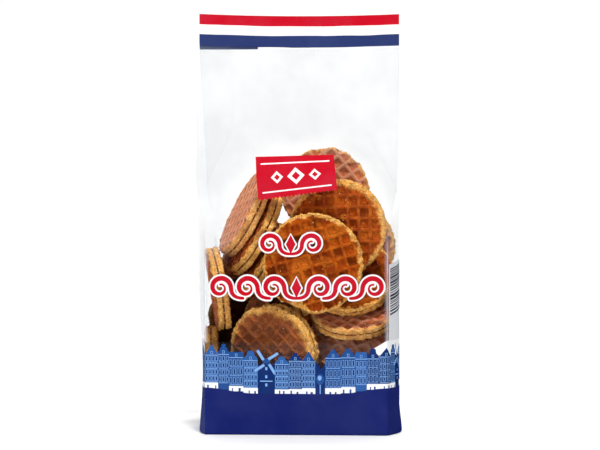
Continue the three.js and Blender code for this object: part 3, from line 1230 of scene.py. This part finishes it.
class Nodes:
    """A material's node tree, with short calls for the nodes used here."""

    def __init__(self, name):
        self.material = bpy.data.materials.new(name)
        self.material.use_nodes = True
        self.tree = self.material.node_tree
        self.tree.nodes.clear()
        self.output = self.node("ShaderNodeOutputMaterial")
        self.shader = self.node("ShaderNodeBsdfPrincipled")
        self.link(self.shader.outputs[0], self.output.inputs["Surface"])

    def node(self, kind, **settings):
        made = self.tree.nodes.new(kind)
        for key, value in settings.items():
            setattr(made, key, value)
        return made

    def link(self, source, target):
        if isinstance(source, (int, float, tuple)):
            target.default_value = source
        else:
            self.tree.links.new(source, target)

    def noise(self, scale, detail=3.0, roughness=0.6):
        made = self.node("ShaderNodeTexNoise")
        self.link(self.node("ShaderNodeTexCoord").outputs["Object"], made.inputs["Vector"])
        for key, number in (("Scale", scale), ("Detail", detail), ("Roughness", roughness)):
            made.inputs[key].default_value = number
        return made.outputs["Fac"]

    def attribute(self, name, output="Fac"):
        return self.node("ShaderNodeAttribute", attribute_name=name).outputs[output]

    def math(self, operation, a, b=0.0, clamp=False):
        made = self.node("ShaderNodeMath", operation=operation, use_clamp=clamp)
        self.link(a, made.inputs[0])
        self.link(b, made.inputs[1])
        return made.outputs[0]

    def times(self, a, b):
        return self.math("MULTIPLY", a, b)

    def ranged(self, value, low, high, to_low=0.0, to_high=1.0):
        made = self.node("ShaderNodeMapRange", interpolation_type="SMOOTHSTEP")
        self.link(value, made.inputs["Value"])
        for key, number in (("From Min", low), ("From Max", high), ("To Min", to_low), ("To Max", to_high)):
            made.inputs[key].default_value = number
        return made.outputs["Result"]

    def mix(self, factor, a, b):
        made = self.node("ShaderNodeMix", data_type="RGBA")
        self.link(factor, made.inputs["Factor"])
        for value, key in ((a, "A"), (b, "B")):
            socket = [s for s in made.inputs if s.name == key and s.type == "RGBA"][0]
            self.link(value + (1.0,) if isinstance(value, tuple) else value, socket)
        return [s for s in made.outputs if s.type == "RGBA"][0]

    def bump(self, height, strength, distance):
        made = self.node("ShaderNodeBump")
        made.inputs["Strength"].default_value = strength
        made.inputs["Distance"].default_value = distance
        self.link(height, made.inputs["Height"])
        self.link(made.outputs["Normal"], self.shader.inputs["Normal"])

    def set(self, **sockets):
        for key, value in sockets.items():
            self.link(value, self.shader.inputs[key.replace("_", " ")])


def wafer_material():
    """Baked wafer: darker in the pockets, with painted shade at the foot of each ridge and a partly painted
    highlight on the crests, golden and crumbly at the rim; its tone paints light and shade.
    """
    nodes = Nodes("wafer")
    ranged, times = nodes.ranged, nodes.times
    ridge, rim, bake, tone = (nodes.attribute(name) for name in WAFER_VALUES)
    patches = nodes.noise(90, 4)
    lumps = nodes.noise(300)
    grain = nodes.noise(620, 5, 0.7)
    crumb = nodes.noise(1500, 4, 0.7)
    dark = (0.100, 0.016, 0.001)
    toasted = (0.340, 0.080, 0.006)
    light = (0.680, 0.175, 0.012)
    golden = (1.000, 0.440, 0.060)
    pale = (1.000, 0.740, 0.290)
    # For the tone: a brown and a near black that are painted shade, and a pale pink, lighter on the ridges,
    # that is a painted glare and painted light.
    shaded_brown = (0.260, 0.125, 0.065)
    shaded = (0.035, 0.012, 0.006)
    painted_glare = nodes.mix(ranged(ridge, 0.1, 0.8), (0.80, 0.27, 0.13), (1.00, 0.52, 0.33))
    ridge_foot = times(ranged(ridge, 0.0, 0.08), ranged(ridge, 0.5, 0.2))
    lifted = times(ranged(ridge, 0.4, 0.95), ranged(lumps, 0.35, 0.6))
    lumpy_rim = nodes.math("ADD", rim, times(nodes.math("SUBTRACT", lumps, 0.5), 2.2))
    layers = (
        (ranged(bake, 0.05, 0.6, 0.0, 0.65), dark),
        (ranged(bake, -0.05, -0.6, 0.0, 0.55), light),
        (ranged(grain, 0.5, 0.3, 0.0, 0.6), dark),
        (ranged(lumps, 0.5, 0.7, 0.0, 0.55), light),
        # Painted shade at the foot of each ridge.
        (times(ridge_foot, 0.4), dark),
        # Lighter crests: partly their own colour, partly a painted highlight.
        (times(lifted, 0.3), light),
        (ranged(lumpy_rim, 0.4, 1.15, 0.0, 0.95), golden),
        (times(ranged(crumb, 0.47, 0.58), ranged(rim, 0.4, 1.1)), pale),
        (times(ranged(grain, 0.52, 0.42, 0.0, 0.42), ranged(rim, 0.6, 1.0)), toasted),
        (times(ranged(bake, 0.1, 0.5, 0.0, 0.5), ranged(rim, 0.6, 1.0)), toasted),
        # By tone: painted glare and light, painted shade in brown, and below -1 near-black painted shade.
        (times(ranged(tone, 0.0, 1.0, 0.0, 0.62), ranged(rim, 0.5, 1.0, 1.0, 0.3)), painted_glare),
        (times(ranged(tone, 0.0, -1.0, 0.0, 0.6), ranged(rim, 0.5, 1.0, 1.0, 0.2)), shaded_brown),
        (ranged(tone, -1.0, -1.5, 0.0, 0.8), shaded),
    )
    colour = nodes.mix(ranged(patches, 0.36, 0.64), (0.280, 0.034, 0.002), (0.480, 0.076, 0.003))
    for share, over in layers:
        colour = nodes.mix(share, colour, over)
    nodes.set(Base_Color=colour, Roughness=ranged(grain, 0.3, 0.7, 0.4, 0.7), Specular_IOR_Level=0.06)
    nodes.bump(nodes.math("ADD", grain, times(crumb, 0.6)), 1.0, 0.0009)
    return nodes.material


def caramel_material():
    """Glossy dark caramel."""
    nodes = Nodes("caramel")
    flow = nodes.noise(160)
    colour = nodes.mix(nodes.ranged(flow, 0.35, 0.65), (0.110, 0.026, 0.005), (0.300, 0.090, 0.016))
    nodes.set(Base_Color=colour, Roughness=nodes.ranged(flow, 0.3, 0.7, 0.16, 0.3))
    nodes.bump(flow, 0.4, 0.0004)
    return nodes.material


def film_material():
    """Clear glossy film, milky along its creases, where the milky white is also a painted highlight."""
    nodes = Nodes("clear_film")
    milky_and_highlight = nodes.attribute("haze_and_highlight")
    facing = nodes.node("ShaderNodeLayerWeight")
    facing.inputs["Blend"].default_value = 0.5
    edge = nodes.math("POWER", facing.outputs["Facing"], 3.0)
    cloudy_and_highlight = nodes.times(milky_and_highlight, nodes.ranged(nodes.noise(22), 0.3, 0.7, 0.55, 1.45))
    cover = nodes.math("ADD", cloudy_and_highlight, nodes.times(edge, 0.05), clamp=True)
    # The pale bluish end colours the painted highlight along the creases.
    tint = nodes.mix(nodes.ranged(milky_and_highlight, 0.3, 0.55), (0.44, 0.49, 0.53), (0.60, 0.70, 0.86))
    nodes.set(Base_Color=tint, Alpha=cover, Specular_IOR_Level=0.5)
    nodes.set(Roughness=nodes.ranged(nodes.noise(38), 0.3, 0.7, 0.08, 0.16))
    nodes.bump(nodes.noise(120), 0.12, 0.0006)
    return nodes.material


def ink_material():
    """Ink printed behind the film: even colour, a little worn, with a painted sheen in pale blue where the
    film's haze value is high, as on the left gusset's foot.
    """
    nodes = Nodes("printed_film")
    cloud = nodes.noise(45)
    # Painted sheen from the haze value, and a little random wear from the cloud.
    sheen_and_fading = nodes.ranged(nodes.attribute("haze_and_highlight"), 0.2, 1.0, 0.0, 0.3)
    sheen_and_fading = nodes.math("ADD", sheen_and_fading, nodes.ranged(cloud, 0.35, 0.7, 0.0, 0.03))
    worn_and_sheen = nodes.mix(sheen_and_fading, nodes.attribute("ink", "Color"), (0.26, 0.33, 0.60))
    nodes.set(Base_Color=worn_and_sheen, Roughness=nodes.ranged(cloud, 0.3, 0.7, 0.2, 0.32), Specular_IOR_Level=0.0)
    nodes.bump(nodes.noise(150), 0.08, 0.0006)
    return nodes.material


def floor_material():
    nodes = Nodes("pale_floor")
    cloud = nodes.noise(6)
    nodes.set(Base_Color=nodes.mix(cloud, (0.93, 0.93, 0.93), (0.96, 0.96, 0.96)), Roughness=0.6)
    return nodes.material


# ---- stage, light and camera
CAMERA_AZIMUTH = math.radians(3.5)
CAMERA_DISTANCE = 0.95
CAMERA_TARGET = Vector((0.0005, 0.0, 0.1035))
PIXEL_SIZE = 0.000505    # a pixel of the 600-pixel-wide frame, at the middle of the bag
FRAME_WIDTH = 600
SENSOR_WIDTH = 36.0
FLOOR_FRONT = -1500
FLOOR_SIDE = 3000
FLOOR_END = 750          # behind the bag, where the floor starts to rise
SWEEP = 400              # the radius of that rise
WALL_TOP = 2200


def build_stage():
    """A pale floor that sweeps up behind."""
    points = []
    faces = []
    profile = [(FLOOR_FRONT, 0), (FLOOR_END, 0)]
    for a in np.linspace(0.1, math.pi / 2, 12):
        profile.append((FLOOR_END + SWEEP * math.sin(a), SWEEP * (1 - math.cos(a))))
    profile.append((FLOOR_END + SWEEP, WALL_TOP))
    for y, z in profile:
        points.extend([(-FLOOR_SIDE, y, z), (FLOOR_SIDE, y, z)])
    for i in range(0, len(points) - 2, 2):
        faces.append([i, i + 1, i + 3, i + 2])
    floor = make_mesh("floor", points, faces)
    floor.data.materials.append(floor_material())


def add_light(name, place, size, energy, target):
    light = bpy.data.lights.new(name, "AREA")
    light.shape = "RECTANGLE"
    light.size, light.size_y = size
    light.energy = energy
    thing = bpy.data.objects.new(name, light)
    bpy.context.scene.collection.objects.link(thing)
    thing.location = place
    aim = Vector(target) - Vector(place)
    thing.rotation_mode = "QUATERNION"
    thing.rotation_quaternion = aim.to_track_quat("-Z", "Y")


def build_lights():
    world = bpy.data.worlds.new("studio")
    bpy.context.scene.world = world
    world.use_nodes = True
    background = [n for n in world.node_tree.nodes if n.type == "BACKGROUND"][0]
    background.inputs["Color"].default_value = (1, 1, 1, 1)
    background.inputs["Strength"].default_value = 0.14
    middle = (0, 0, 0.1)
    add_light("key", (0.1, -0.45, 1.12), (0.16, 0.16), 12.8, middle)
    add_light("fill", (-0.5, -1.2, 0.12), (0.45, 0.45), 4.8, middle)
    add_light("backdrop", (0, 0.45, 1.3), (1.6, 0.4), 9.6, (0, 1.15, 0.4))
    bpy.context.scene.view_settings.view_transform = "Standard"


def build_camera():
    camera = bpy.data.cameras.new("camera")
    thing = bpy.data.objects.new("camera", camera)
    bpy.context.scene.collection.objects.link(thing)
    back = Vector((math.sin(CAMERA_AZIMUTH), -math.cos(CAMERA_AZIMUTH), 0))
    thing.location = CAMERA_TARGET + back * CAMERA_DISTANCE
    thing.rotation_mode = "QUATERNION"
    thing.rotation_quaternion = (-back).to_track_quat("-Z", "Y")
    camera.sensor_width = SENSOR_WIDTH
    camera.lens = SENSOR_WIDTH * CAMERA_DISTANCE / (FRAME_WIDTH * PIXEL_SIZE)
    bpy.context.scene.camera = thing


# ---- the whole scene
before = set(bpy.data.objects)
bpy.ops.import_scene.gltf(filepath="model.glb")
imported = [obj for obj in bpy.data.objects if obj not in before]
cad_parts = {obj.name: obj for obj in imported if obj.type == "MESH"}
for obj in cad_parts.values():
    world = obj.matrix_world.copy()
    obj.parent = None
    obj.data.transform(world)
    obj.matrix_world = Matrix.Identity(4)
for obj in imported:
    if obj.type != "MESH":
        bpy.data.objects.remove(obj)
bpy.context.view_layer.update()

build_camera()
build_stage()
build_lights()
waffle_surface = build_waffles(wafer_material(), caramel_material())
film_pieces(push_grid(waffle_surface), film_material(), ink_material())
